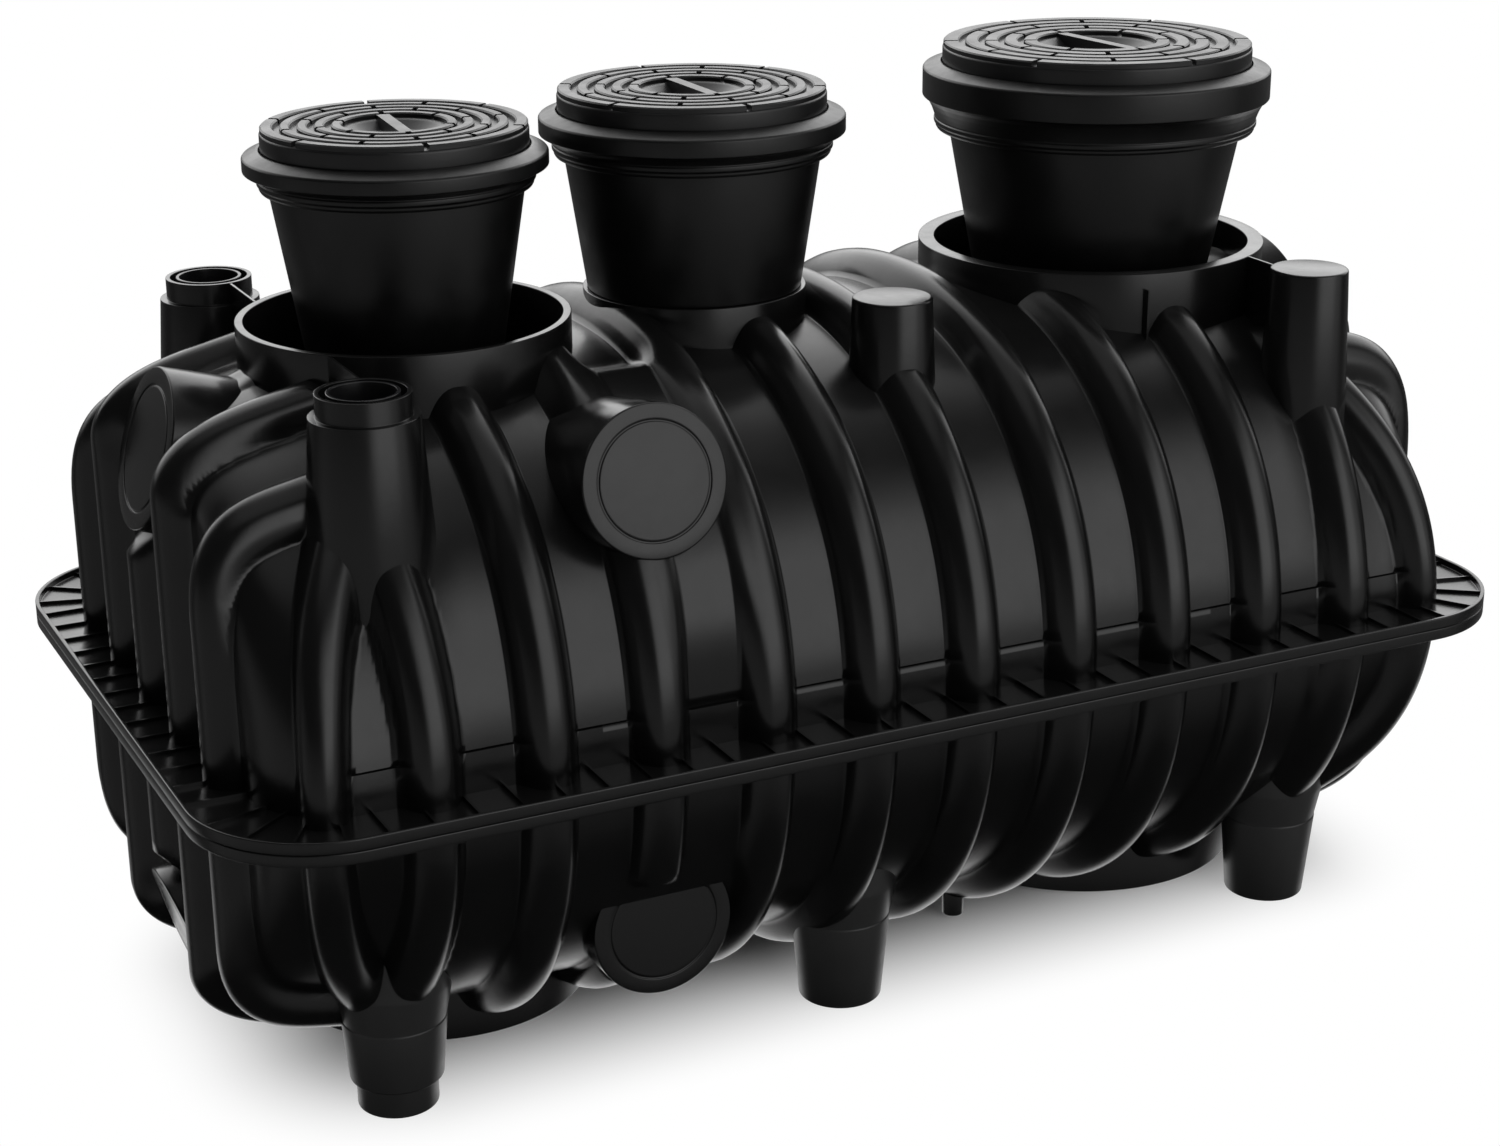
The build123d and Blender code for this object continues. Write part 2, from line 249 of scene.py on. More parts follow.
# %% Rib relief
HOOPS = (np.arange(10) - 4.5) * PITCH
END_RIBS = (np.arange(5) - 2) * PITCH
OUTER_HOOP_LEAN = 0.028
CORNER_RIB_X, CORNER_RIB_Y, CORNER_RIB_TURN = 1.118, 0.504, np.radians(58)
RIB_HALF, RIB_POWER, MEAN_POWER = 0.063, 2.6, 4
END_DISC_HEIGHT, END_DISC_RADIUS = 0.545, 0.168
DISC_X = -0.556
DISC_HEIGHT = {"upper": 0.545, "lower": 0.400}


def ease(value, low, high):
    """Smooth step from 0 at low to 1 at high."""
    part = np.clip((value - low) / (high - low), 0, 1)
    return part * part * (3 - 2 * part)


def bell(distance):
    """One on a rib's crest and nothing at its root: 1 - (distance / half width) ** RIB_POWER."""
    return np.clip(1 - np.abs(distance / RIB_HALF) ** RIB_POWER, 0, 1)


def beside(across, up, radius, ramp=0.02):
    """Nothing within a disc of the radius and one outside it, from the distances to its middle."""
    return ease(np.hypot(across, up), radius - 0.01, radius + ramp)


def rib_share(points, half):
    """Height of the ribs as a share of their full depth: power mean of the bells of all ribs."""
    x, y, z = points.T
    outside = ease(np.abs(y), 0.50, 0.56)
    total = np.zeros(len(x))
    beside_disc = 1
    if half == "lower":
        beside_disc = np.maximum(beside(x - DISC_X, z - DISC_HEIGHT[half], END_DISC_RADIUS),
                                 1 - ease(z, 0.26, 0.31))
    for place in HOOPS[1:-1]:
        total += (beside_disc * bell(x - place)) ** MEAN_POWER
    leaning = np.abs(x) - HOOPS[-1] - OUTER_HOOP_LEAN * ease(z, 0.1, 0.65)
    total += (outside * bell(leaning)) ** MEAN_POWER
    near_end = ease(np.abs(x), 1.02, 1.10)
    beside_disc = beside(y, z - END_DISC_HEIGHT, END_DISC_RADIUS, 0.05)
    for place in END_RIBS:
        total += (near_end * beside_disc * bell(y - place)) ** MEAN_POWER
    from_x, from_y = np.abs(x) - CORNER_RIB_X, np.abs(y) - CORNER_RIB_Y
    along = from_x * np.cos(CORNER_RIB_TURN) + from_y * np.sin(CORNER_RIB_TURN)
    across = from_x * np.sin(CORNER_RIB_TURN) - from_y * np.cos(CORNER_RIB_TURN)
    total += (ease(along, -0.02, 0.06) * bell(across)) ** MEAN_POWER
    return np.clip(total ** (1 / MEAN_POWER), 0, 1)


# %% [markdown]
# ## Fillets and ledges
# Between the ribs the skin isn't quite plain. A ledge runs along each panel a hand's width over
# the flange, and below each side disc a panel is raised to meet it. Both are added to the depth of
# the skin. The ledge follows the level on the plain box, so its edge lies along the grid.

# %% Relief of the skin
LEDGE, LEDGE_STEP, LEDGE_GROOVE = 0.100, 0.002, 0.004
STRIP_X, STRIP_RISE = -0.472, 0.042


def skin_depth(points, level, half):
    """How far the skin lies below the crest surface; the level is the height on the plain box."""
    x, y, height = points.T
    panel = 1 - rib_share(points, half)
    raised = STRIP_RISE * ease(height, 0.04, 0.40) * (1 - ease(np.abs(x - STRIP_X), 0.085, 0.105))
    raised *= ease(np.abs(y), 0.25, 0.35)
    line = LEDGE_GROOVE * (1 - ease(np.abs(level - LEDGE), 0.001, 0.003))
    on_side = ease(np.abs(y), 0.50, 0.55) * (1 - ease(np.abs(x), 1.20, 1.30)) * ease(panel, 0.5, 0.9)
    fitting = -raised + (line - LEDGE_STEP * (level < LEDGE)) * on_side
    return (RIB_DEPTH + fitting * (half == "upper")) * panel


# %% [markdown]
# ## One half-shell from a box
# How can one grid cover a cushion with square corners? The trick here is to lay grids on the faces
# of a plain box and to draw them in onto the cushion. Lines of the grid then run along the ribs,
# so the ribs come out clean with few faces. The skin is pushed in along its normals, and a
# Solidify modifier gives the wall its thickness.

# %% Half-shells
SHOULDER = 0.400


def face_normals(points, faces):
    """Unit normal at each point: the mean of its faces' normals, weighted by their size."""
    corner = points[faces]
    normal = np.cross(corner[:, 2] - corner[:, 0], corner[:, 3] - corner[:, 1])
    total = np.zeros_like(points)
    for number in range(4):
        np.add.at(total, faces[:, number], normal)
    return total / np.linalg.norm(total, axis=1)[:, None]


def ledge_levels(below, above):
    """Heights of the grid lines up a side: closer over the shoulder, with a few at the ledge."""
    even = np.union1d(np.linspace(0, SHOULDER, below), np.linspace(SHOULDER, CROWN, above))
    even = even[np.abs(even - LEDGE) > 0.006]
    return np.sort(np.append(even, LEDGE + np.array([-0.003, -0.001, 0.001, 0.003])))


def rib_lines(low, high, ribs, step):
    """Grid lines at even steps, but closer and symmetric over each rib, with one at its root."""
    even = np.linspace(low, high, int(round((high - low) / step)) + 1)
    over = RIB_HALF * np.array([0, 0.19, 0.36, 0.52, 0.67, 0.80, 0.91, 1.0, 1.08])
    for rib in ribs:
        even = even[np.abs(even - rib) > over[-1] + step / 3]
        even = np.concatenate([even, rib + over, rib - over[1:]])
    return np.unique(np.concatenate([[low, high], even[(even > low) & (even < high)]]).round(6))


def box_faces(x_lines, y_lines, levels, ends):
    """Grids on the top and the sides of a box, and on its end where x is the outer one."""
    parts = []

    def lay(first, second, make, flip):
        a, b = np.meshgrid(first, second, indexing="ij")
        faces = cell_faces(len(first), len(second))
        parts.append((make(a.ravel(), b.ravel()), faces[:, ::-1] if flip else faces))

    lay(x_lines, y_lines, lambda a, b: np.stack([a, b, a * 0 + CROWN], 1), False)
    lay(x_lines, levels, lambda a, b: np.stack([a, a * 0 - HALF_WIDTH, b], 1), False)
    lay(x_lines, levels, lambda a, b: np.stack([a, a * 0 + HALF_WIDTH, b], 1), True)
    for end in ends:
        lay(y_lines, levels, lambda a, b: np.stack([a * 0 + end, a, b], 1), end < 0)
    return parts


def weld(parts):
    """Joins parts into one list of points and faces, with points that coincide made one."""
    points = np.concatenate([part[0] for part in parts])
    offsets = np.cumsum([0] + [len(part[0]) for part in parts[:-1]])
    faces = np.concatenate([part[1] + offset for part, offset in zip(parts, offsets)])
    first, back = np.unique(np.round(points, 6), axis=0, return_index=True, return_inverse=True)[1:]
    return points[first], back.reshape(-1)[faces]


# Each neck's place along the tank, outer radius and wall.
NECKS = {"left_neck": (-0.814, 0.344, 0.017), "middle_neck": (-0.154, 0.240, 0.017),
         "right_neck": (0.856, 0.395, 0.036)}
OPEN_EDGE_ANGLE = 70.0


def half_shell(half, part, x_lines, y_lines, level_counts, ends):
    """Skin of one measured piece of a half-shell, as an open sheet with a Solidify wall."""
    points, faces = weld(box_faces(x_lines, y_lines, ledge_levels(*level_counts), ends))
    level = points[:, 2]
    points = crest_points(points)
    normals = face_normals(points, faces)
    rim = points[:, 2] < 1e-6
    normals[rim, 2] = 0
    normals /= np.linalg.norm(normals, axis=1)[:, None]
    skin = points - normals * skin_depth(points, level, half)[:, None]
    middles = skin[faces].mean(axis=1)
    if half == "upper":
        for place, radius, thickness in NECKS.values():
            keep = np.hypot(middles[:, 0] - place, middles[:, 1]) > radius - thickness / 2
            faces, middles = faces[keep], middles[keep]
    else:
        skin[:, 2] *= -1
        faces = faces[:, ::-1]
    skin[:, 2] += SEAM
    name = half + "_" + part
    piece = make_piece(name + "_skin", [(skin, faces)], tank_skin, [name], sharp=OPEN_EDGE_ANGLE)
    wall = piece.modifiers.new("wall", "SOLIDIFY")
    wall.thickness = WALL
    wall.offset = -1.0
    return piece


# Steps are finer from CORNER_START on, where the slanted ribs cross the grid.
CORNER_START = 0.98
barrel_x = rib_lines(-BARREL_REACH, BARREL_REACH, HOOPS[2:-2], 0.018)
barrel_y = rib_lines(-HALF_WIDTH, HALF_WIDTH, (), 0.018)
end_x = np.union1d(rib_lines(BARREL_REACH, CORNER_START, HOOPS[-2:-1], 0.014),
                   rib_lines(CORNER_START, REACH, (), 0.0085))
end_y = rib_lines(-HALF_WIDTH, HALF_WIDTH, END_RIBS, 0.009)
for half in ("upper", "lower"):
    half_shell(half, "barrel", barrel_x, barrel_y, (20, 20), ())
    half_shell(half, "left_end", -end_x[::-1], end_y, (18, 34), (-REACH,))
    half_shell(half, "right_end", end_x, end_y, (18, 34), (REACH,))

# %% [markdown]
# ## Round pieces
# Necks, risers, feet, shafts, collars and lids are all turned: a profile of radius and height goes
# round an axis, as on a lathe. Real mouldings have no knife edges, so each corner of the profile
# is first rounded by a small arc. A Bevel modifier would do that too, but at the cost of more faces.

# %% Turned surfaces
def rounded(profile, radius, closed=False, steps=3):
    """Profile with each corner replaced by points of a small arc, worked out as a quadratic curve."""
    corners = np.asarray(profile, float)
    before = np.roll(corners, 1, axis=0)
    after = np.roll(corners, -1, axis=0)
    lead_in = np.linalg.norm(before - corners, axis=1, keepdims=True)
    lead_out = np.linalg.norm(after - corners, axis=1, keepdims=True)
    cut_in = np.minimum(radius, 0.45 * lead_in) / np.maximum(lead_in, 1e-9)
    cut_out = np.minimum(radius, 0.45 * lead_out) / np.maximum(lead_out, 1e-9)
    start = corners + (before - corners) * cut_in
    stop = corners + (after - corners) * cut_out
    share = np.linspace(0, 1, steps + 1)[None, :, None]
    curve = ((1 - share) ** 2 * start[:, None] + 2 * share * (1 - share) * corners[:, None]
             + share ** 2 * stop[:, None])
    if not closed:
        curve[0], curve[-1] = corners[0], corners[-1]
    return curve.reshape(-1, 2)


def turned(profile, centre, segments=128, closed=True, axis=(0, 0, 1), side=(1, 0, 0)):
    """Profile of (radius, height) carried round an axis.

    A point is centre + radius * (cos(t) * side + sin(t) * other) + height * axis.
    """
    profile = np.asarray(profile, float)
    if closed:
        profile = np.vstack([profile, profile[:1]])
    axis, side = np.array(axis, float), np.array(side, float)
    other = np.cross(axis, side)
    turn = np.linspace(0, 2 * np.pi, segments + 1)[:, None, None]
    radius, height = profile[None, :, :1], profile[None, :, 1:]
    points = np.array(centre) + radius * (np.cos(turn) * side + np.sin(turn) * other) + height * axis
    return points.reshape(-1, 3), cell_faces(segments + 1, len(profile))


# %% [markdown]
# ## Necks
# A neck is a short tube that grows out of the crown and carries a shaft. Thin webs tie the outer
# necks to their risers, and the right one has a small fin in front. The tube also closes the shell's
# wall round the way in. Two pegs and two rings stand under the lower half, which is the same
# moulding upside down.

# %% Necks
def plate(start, stop, thickness, bottom, top):
    """Thin upright plate from start to stop in plan: a box of eight corners."""
    start, stop = np.array(start, float), np.array(stop, float)
    along = (stop - start) / np.linalg.norm(stop - start)
    across = np.array([-along[1], along[0]]) * thickness / 2
    plan = np.array([start - across, stop - across, stop + across, start + across])
    points = np.concatenate([np.c_[plan, np.full(4, bottom)], np.c_[plan, np.full(4, top)]])
    faces = np.array([[0, 3, 2, 1], [4, 5, 6, 7], [0, 1, 5, 4], [1, 2, 6, 5], [2, 3, 7, 6], [3, 0, 4, 7]])
    return points, faces


# A web's place along the tank, and where it starts and ends across it.
WEBS = {"left_neck": (-1.055, 0.24, 0.43), "right_neck": (1.055, 0.33, 0.455)}
WEB_THICKNESS, WEB_BOTTOM = 0.005, SEAM + 0.50
FIN_X, FIN_START, FIN_STOP, FIN_THICKNESS = 0.750, -0.370, -0.400, 0.003
for name, (place, radius, thickness) in NECKS.items():
    low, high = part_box(name)
    inner = radius - thickness
    profile = [(inner, low.z), (radius, low.z), (radius, high.z), (inner, high.z)]
    parts = [turned(rounded(profile, 0.002, closed=True), (place, 0, 0), 160)]
    if name in WEBS:
        web_x, web_start, web_end = WEBS[name]
        for side in (-1, 1):
            parts.append(plate((web_x, side * web_start), (web_x, side * web_end), WEB_THICKNESS,
                               WEB_BOTTOM, high.z - 0.001))
    if name == "right_neck":
        parts.append(plate((FIN_X, FIN_START), (FIN_X, FIN_STOP), FIN_THICKNESS,
                           SEAM + 0.60, SEAM + 0.71))
    make_piece(name + "_ring", parts, tank_skin, [name])

PEG_X, PEG_Y = 0.343, 0.305
pegs = [turned(rounded([(0, 0.010), (0.024, 0.010), (0.026, 0.12), (0, 0.12)], 0.003),
               (PEG_X, side * PEG_Y, 0), 48, closed=False) for side in (-1, 1)]
make_piece("lower_barrel_pegs", pegs, tank_skin)
BASE_RING_WALL, BASE_RING_TOP = 0.017, 0.15
for name in ("left", "right"):
    low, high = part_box(name + "_base_ring")
    radius = (high.x - low.x) / 2
    inner = radius - BASE_RING_WALL
    profile = [(inner, BASE_RING_TOP), (inner, low.z), (radius, low.z), (radius, BASE_RING_TOP)]
    tube = turned(rounded(profile, 0.004, closed=True), ((low.x + high.x) / 2, 0, 0), 160)
    make_piece(name + "_base_ring_tube", [tube], tank_skin, [name + "_base_ring"])

# %% [markdown]
# ## Risers and feet
# The open risers end in a socket with a pipe inside. The closed ones are plain cones with a flat
# top. A foot is a cone upside down with a sleeve round its lower end, and the left feet have a step
# near the sole. Places and heights come from the measured boxes, and the radii are written here.

# %% Risers, pipes and feet
CLOSED_TOP_SHARE = 0.81
PIPE_BORE, PIPE_RADIUS, SOCKET_BORE, SOCKET_RADIUS, SHOULDER_RADIUS = 0.063, 0.070, 0.0825, 0.092, 0.106
SOCKET_HEIGHT, SOCKET_DEPTH = 0.045, 0.070
SOLE_RADIUS, STEP_RADIUS, SLEEVE_FOOT, STEP_HEIGHT = 0.090, 0.083, 0.096, 0.062
SLEEVE_RADIUS, SLEEVE_TOP = 0.108, 0.197


def round_piece(name):
    """Bottom and top corner of a round measured piece, its radius, and its centre in plan."""
    low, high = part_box(name)
    return low, high, (high.x - low.x) / 2, ((low.x + high.x) / 2, (low.y + high.y) / 2, 0)


for where in ("front", "back"):
    for spot in ("middle", "right"):
        name = where + "_" + spot + "_riser"
        low, high, base, centre = round_piece(name)
        profile = [(0, low.z), (base, low.z), (base * CLOSED_TOP_SHARE, high.z), (0, high.z)]
        make_piece(name + "_cone", [turned(rounded(profile, 0.006), centre, 96, closed=False)],
                   tank_skin, [name])
    name = where + "_left_riser"
    low, high, base, centre = round_piece(name)
    shoulder, floor = high.z - SOCKET_HEIGHT, high.z - SOCKET_DEPTH
    profile = [(PIPE_BORE, low.z), (base, low.z), (SHOULDER_RADIUS, shoulder), (SOCKET_RADIUS, shoulder),
               (SOCKET_RADIUS, high.z), (SOCKET_BORE, high.z), (SOCKET_BORE, floor), (PIPE_BORE, floor)]
    make_piece(name + "_socket", [turned(rounded(profile, 0.0012, closed=True), centre, 96)],
               tank_skin, [name])
    name = where + "_left_pipe"
    floor += 0.002
    profile = [(PIPE_BORE, floor), (PIPE_RADIUS, floor), (PIPE_RADIUS, high.z), (PIPE_BORE, high.z)]
    make_piece(name + "_end", [turned(rounded(profile, 0.0015, closed=True), centre, 96)],
               pipe_skin, [name])
    for spot in ("left", "middle", "right"):
        name = where + "_" + spot + "_foot"
        low, high, base, centre = round_piece(name)
        sole = [(SOLE_RADIUS, 0)]
        if spot == "left":
            sole = [(STEP_RADIUS, 0), (STEP_RADIUS, STEP_HEIGHT), (SLEEVE_FOOT, STEP_HEIGHT)]
        profile = [(0, 0)] + sole
        profile += [(SLEEVE_RADIUS, SLEEVE_TOP), (SLEEVE_RADIUS - 0.0015, SLEEVE_TOP)]
        profile += [(0.122, SLEEVE_TOP + 0.08), (0.126, SLEEVE_TOP + 0.16), (base, high.z), (0, high.z)]
        # The feet's paler grey is painted bounce light from the floor.
        make_piece(name + "_cone", [turned(rounded(profile, 0.005), centre, 96, closed=False)],
                   painted_bounce_foot_material, [name])

# %% [markdown]
# ## Discs for pipes
# Each side and each end has a disc where a pipe can be let in. Its face is flat, with a circle
# scribed in it as a guide for the saw, and its body runs back into the shell. It is turned like the
# risers, but about an axis that leans out of the level.

# %% Pipe discs
LEAN = {"upper": np.radians(12), "lower": 0.0}
END_LEAN = np.radians(17)
FACE_Y, FACE_X = 0.670, 1.370
SIDE_GUIDE, END_GUIDE, GUIDE_WIDTH, GUIDE_DEPTH = 0.115, 0.126, 0.005, 0.003


def disc(guide, face, back, depth):
    """Profile of a disc: flat face with a scribed circle, then a body that runs back by the depth."""
    return [(0, 0), (guide, 0), (guide, -GUIDE_DEPTH), (guide + GUIDE_WIDTH, -GUIDE_DEPTH),
            (guide + GUIDE_WIDTH, 0), (face, 0), (back, -depth), (0, -depth)]


for half, up in (("upper", 1), ("lower", -1)):
    for where, face_y in (("front", -1), ("back", 1)):
        name = half + "_" + where + "_boss"
        out = (0, face_y * np.cos(LEAN[half]), up * np.sin(LEAN[half]))
        profile = disc(SIDE_GUIDE, 0.152, 0.156, 0.38)
        centre = (DISC_X, face_y * FACE_Y, SEAM + up * DISC_HEIGHT[half])
        part = turned(rounded(profile, 0.004)[::-1], centre, 128, closed=False, axis=out, side=(1, 0, 0))
        make_piece(name + "_disc", [part], tank_skin, [name])
    for where, face_x in (("left", -1), ("right", 1)):
        name = half + "_" + where + "_boss"
        out = (face_x * np.cos(END_LEAN), 0, up * np.sin(END_LEAN))
        profile = disc(END_GUIDE, END_DISC_RADIUS - 0.002, END_DISC_RADIUS + 0.003, 0.21)
        centre = (face_x * FACE_X, 0, SEAM + up * END_DISC_HEIGHT)
        part = turned(rounded(profile, 0.004)[::-1], centre, 128, closed=False, axis=out, side=(0, 1, 0))
        make_piece(name + "_disc", [part], tank_skin, [name])

# %% [markdown]
# ## Flange
# Each half ends in a tray with an upstanding rim, stiffened by thin ribs across it. The two trays
# are welded back to back. The profile of the tray is carried along a rounded rectangle, which keeps
# its width even round the corners, and the ribs are small plates set square to it.

# %% Flange path and trays
tray_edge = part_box("upper_flange")[1]
TRAY_X, TRAY_Y, TRAY_CORNER = tray_edge.x, tray_edge.y, 0.272
TRAY_WIDTH, TRAY_THICKNESS, RIM_WALL, RIM_HEIGHT = 0.165, 0.010, 0.009, 0.025
TRAY_RIB, TRAY_RIB_STEP, TRAY_RIB_LOW, TRAY_RIB_HIGH = 0.005, 0.088, 0.008, 0.017


def rim_path(spacing):
    """Points and outward normals round the corners of a rounded rectangle, as a closed loop."""
    straight_x, straight_y = TRAY_X - TRAY_CORNER, TRAY_Y - TRAY_CORNER
    turn = np.linspace(0, np.pi / 2, int(TRAY_CORNER * np.pi / 2 / spacing) + 1)
    pivots = [(straight_x, straight_y), (-straight_x, straight_y),
              (-straight_x, -straight_y), (straight_x, -straight_y)]
    places, normals = [], []
    for number, pivot in enumerate(pivots):
        angle = turn + number * np.pi / 2
        normal = np.stack([np.cos(angle), np.sin(angle)], 1)
        places.append(np.array(pivot) + TRAY_CORNER * normal)
        normals.append(normal)
    return np.vstack(places + [places[0][:1]]), np.vstack(normals + [normals[0][:1]])


def tray(up):
    """Profile of the flange carried along its path: (distance in from the edge, height)."""
    profile = [(0, 0), (0, RIM_HEIGHT), (RIM_WALL, RIM_HEIGHT), (RIM_WALL, TRAY_THICKNESS),
               (TRAY_WIDTH, TRAY_THICKNESS), (TRAY_WIDTH, 0)]
    profile = rounded(profile, 0.0025, closed=True)
    profile = np.vstack([profile, profile[:1]])
    path, normal = rim_path(0.02)
    place = path[:, None, :] - normal[:, None, :] * profile[None, :, :1]
    height = np.broadcast_to(SEAM + up * profile[None, :, 1:], place[:, :, :1].shape)
    points = np.concatenate([place, height], axis=2).reshape(-1, 3)
    faces = cell_faces(len(path), len(profile))
    return points, faces if up > 0 else faces[:, ::-1]


def tray_ribs(up):
    """Stiffening plates across the tray, at even steps along its edge."""
    parts = []
    straight_x, straight_y = TRAY_X - TRAY_CORNER, TRAY_Y - TRAY_CORNER
    spots = []
    for x in np.arange(-straight_x + TRAY_RIB_STEP / 2, straight_x, TRAY_RIB_STEP):
        spots += [((x, TRAY_Y), (0, 1)), ((x, -TRAY_Y), (0, -1))]
    for y in np.arange(-straight_y + TRAY_RIB_STEP / 2, straight_y, TRAY_RIB_STEP):
        spots += [((TRAY_X, y), (1, 0)), ((-TRAY_X, y), (-1, 0))]
    for angle in np.radians((15, 37, 59, 81)):
        for sign_x, sign_y in ((1, 1), (-1, 1), (-1, -1), (1, -1)):
            normal = (sign_x * np.cos(angle), sign_y * np.sin(angle))
            spot = (sign_x * straight_x + TRAY_CORNER * normal[0],
                    sign_y * straight_y + TRAY_CORNER * normal[1])
            spots.append((spot, normal))
    for spot, normal in spots:
        spot, normal = np.array(spot), np.array(normal)
        bottom, top = sorted((SEAM + up * TRAY_RIB_LOW, SEAM + up * TRAY_RIB_HIGH))
        parts.append(plate(spot - normal * 0.160, spot - normal * 0.006, TRAY_RIB, bottom, top))
    return parts


for half, up in (("upper", 1), ("lower", -1)):
    make_piece(half + "_flange_tray", [tray(up)] + tray_ribs(up), tank_skin, [half + "_flange"])

# %% [markdown]
# ## Shafts and collars
# Each shaft is a cone that widens upwards, with its foot inside the neck. A collar sits on its
# top edge: two thin ridges at the bottom, a skirt that swells outwards like a bowl, an upright rim,
# and a slope up to the lid. All of that is one profile, turned once, so nothing needs joining.

# %% Shafts and collars
SHAFT_WALL, LID_SEAT, SKIRT_FOOT = 0.008, 0.018, 0.026
SHAFT_BASE = {"left": 0.202, "middle": 0.230, "right": 0.268}
for spot, base in SHAFT_BASE.items():
    low, high, top, centre = round_piece(spot + "_shaft")
    inner = top - SHAFT_WALL
    profile = [(base - SHAFT_WALL, low.z), (base, low.z), (top, high.z), (inner, high.z)]
    make_piece(spot + "_shaft_cone", [turned(rounded(profile, 0.003, closed=True), centre, 160)],
               shaft_skin, [spot + "_shaft"])
    lid = round_piece(spot + "_lid")[2]
    low, high, ring, centre = round_piece(spot + "_collar")
    seat = high.z - LID_SEAT
    foot = low.z + SKIRT_FOOT
    lip_low = (low.z + high.z) / 2 - 0.004
    curve = np.linspace(0, np.pi / 2, 7)[1:-1]
    rise = lip_low - foot
    profile = [(inner, low.z), (ring - 0.034, low.z), (ring - 0.031, low.z + 0.005),
               (ring - 0.031, low.z + 0.010), (ring - 0.027, low.z + 0.014), (ring - 0.027, low.z + 0.022),
               (ring - 0.029, low.z + 0.024), (ring - 0.029, foot)]
    profile += [(ring - 0.029 * np.cos(turn), foot + rise * np.sin(turn) ** 2) for turn in curve]
    profile += [(ring - 0.002, lip_low), (ring, lip_low + 0.002), (ring, high.z - 0.020),
                (ring - 0.003, high.z - 0.016), (lid + 0.008, high.z - 0.004), (lid + 0.003, high.z - 0.004),
                (lid + 0.003, seat), (inner, seat)]
    make_piece(spot + "_collar_ring", [turned(rounded(profile, 0.0015, closed=True), centre, 144)],
               shaft_skin, [spot + "_collar"])

# %% [markdown]
# ## Lids
# A lid is a turned plate with a round recess in its middle. Treads stand on it in five rings of
# six blocks each, so that a boot doesn't slip. The joints of one ring lie over the middles of the
# next, like bricks, and a bar across the recess is the grip. Real blocks with soft upper edges
# catch the light as a bump texture wouldn't, and at this size they cost few faces.

# %% Treads and grip
def tread_block(inner, outer, start, stop, bottom, top, round_off=0.003):
    """Block bent round the lid's axis, from one angle to another, with softened upper edges."""
    half = (outer - inner) / 2
    lift = np.array([(-half, bottom), (-half, top - round_off), (-half + round_off, top),
                     (half - round_off, top), (half, top - round_off), (half, bottom)])
    count = max(int((stop - start) / np.radians(4)), 3)
    turn = np.linspace(start, stop, count + 1)[:, None]
    radius = (inner + outer) / 2 + lift[None, :, 0]
    points = np.stack([radius * np.cos(turn), radius * np.sin(turn),
                       np.broadcast_to(lift[None, :, 1], (count + 1, 6))], axis=2).reshape(-1, 3)
    faces = cell_faces(count + 1, 6)
    last = count * 6
    caps = np.array([[0, 1, 4, 5], [1, 2, 3, 4], [last + 5, last + 4, last + 1, last],
                     [last + 4, last + 3, last + 2, last + 1]])
    return points, np.concatenate([faces, caps])


GRIP_TURN = {"left": np.radians(-96), "middle": np.radians(-91), "right": np.radians(-86)}
TREAD_RINGS = 5
TREADS_PER_RING = 6
TREAD_HEIGHT, GROOVE = 0.010, 0.014
TREAD_TURN = 2 * np.pi / TREADS_PER_RING
BOWL_SHARE, BOWL_DEPTH, LID_PLATE, LID_WALL, GRIP_WIDTH = 0.365, 0.030, 0.014, 0.010, 0.026
for spot, grip_turn in GRIP_TURN.items():
    low, high, radius, centre = round_piece(spot + "_lid")
    place = np.array(centre)
    deck = high.z - TREAD_HEIGHT
    bowl = BOWL_SHARE * radius
    floor = high.z - BOWL_DEPTH
    inside, under = radius - LID_WALL, deck - LID_PLATE
    profile = [(0, floor), (bowl - 0.030, floor + 0.002), (bowl - 0.006, deck - 0.002), (bowl, deck),
               (radius - 0.004, deck), (radius, deck - 0.004), (radius, low.z), (inside, low.z),
               (inside, under), (bowl + LID_WALL, under), (bowl + LID_WALL, floor - LID_PLATE),
               (0, floor - LID_PLATE)]
    parts = [turned(rounded(profile, 0.003)[::-1], place, 160, closed=False)]
    ring_step = (radius - bowl) / TREAD_RINGS
    for ring in range(TREAD_RINGS):
        outer = radius - ring * ring_step - (0.002 if ring == 0 else GROOVE / 2)
        inner = radius - (ring + 1) * ring_step + GROOVE / 2
        gap = 0.4 * GROOVE / ((inner + outer) / 2)
        for block in range(TREADS_PER_RING):
            start = grip_turn + (block + 0.5 * (ring % 2)) * TREAD_TURN
            points, faces = tread_block(inner, outer, start + gap, start + TREAD_TURN - gap,
                                        deck - 0.001, high.z)
            parts.append((points + place, faces))
    reach = (bowl + 0.004) * np.array([np.cos(grip_turn), np.sin(grip_turn)])
    parts.append(plate(place[:2] - reach, place[:2] + reach, GRIP_WIDTH, floor - 0.002, high.z - 0.002))
    make_piece(spot + "_lid_cover", parts, lid_skin, [spot + "_lid"])

# %% [markdown]
# ## Floor
# The tank stands on a sheet of white paper, which keeps the soft shadow close to the tank and is
# pure white further out. Brighter lamps could whiten the paper too, but they would grey the tank, so
# the camera alone sees the paper turn white with distance. The plastic doesn't mirror the paper,
# and its sides can stay black.

# %% Floor
FLOOR, PAPER = 60.0, 0.92
FOOTPRINT_MIDDLE, FOOTPRINT = (0.08, 0.0, 0.0), (1.05, 0.20, 1.0)
FADE = 0.55


def smooth_range(tree, value, from_min, from_max, to_min, to_max):
    """Smooth step of a socket's value between two ranges."""
    span = {"From Min": from_min, "From Max": from_max, "To Min": to_min, "To Max": to_max}
    step = add_node(tree, "ShaderNodeMapRange", span, {"Value": value}, interpolation_type="SMOOTHSTEP")
    return step.outputs["Result"]


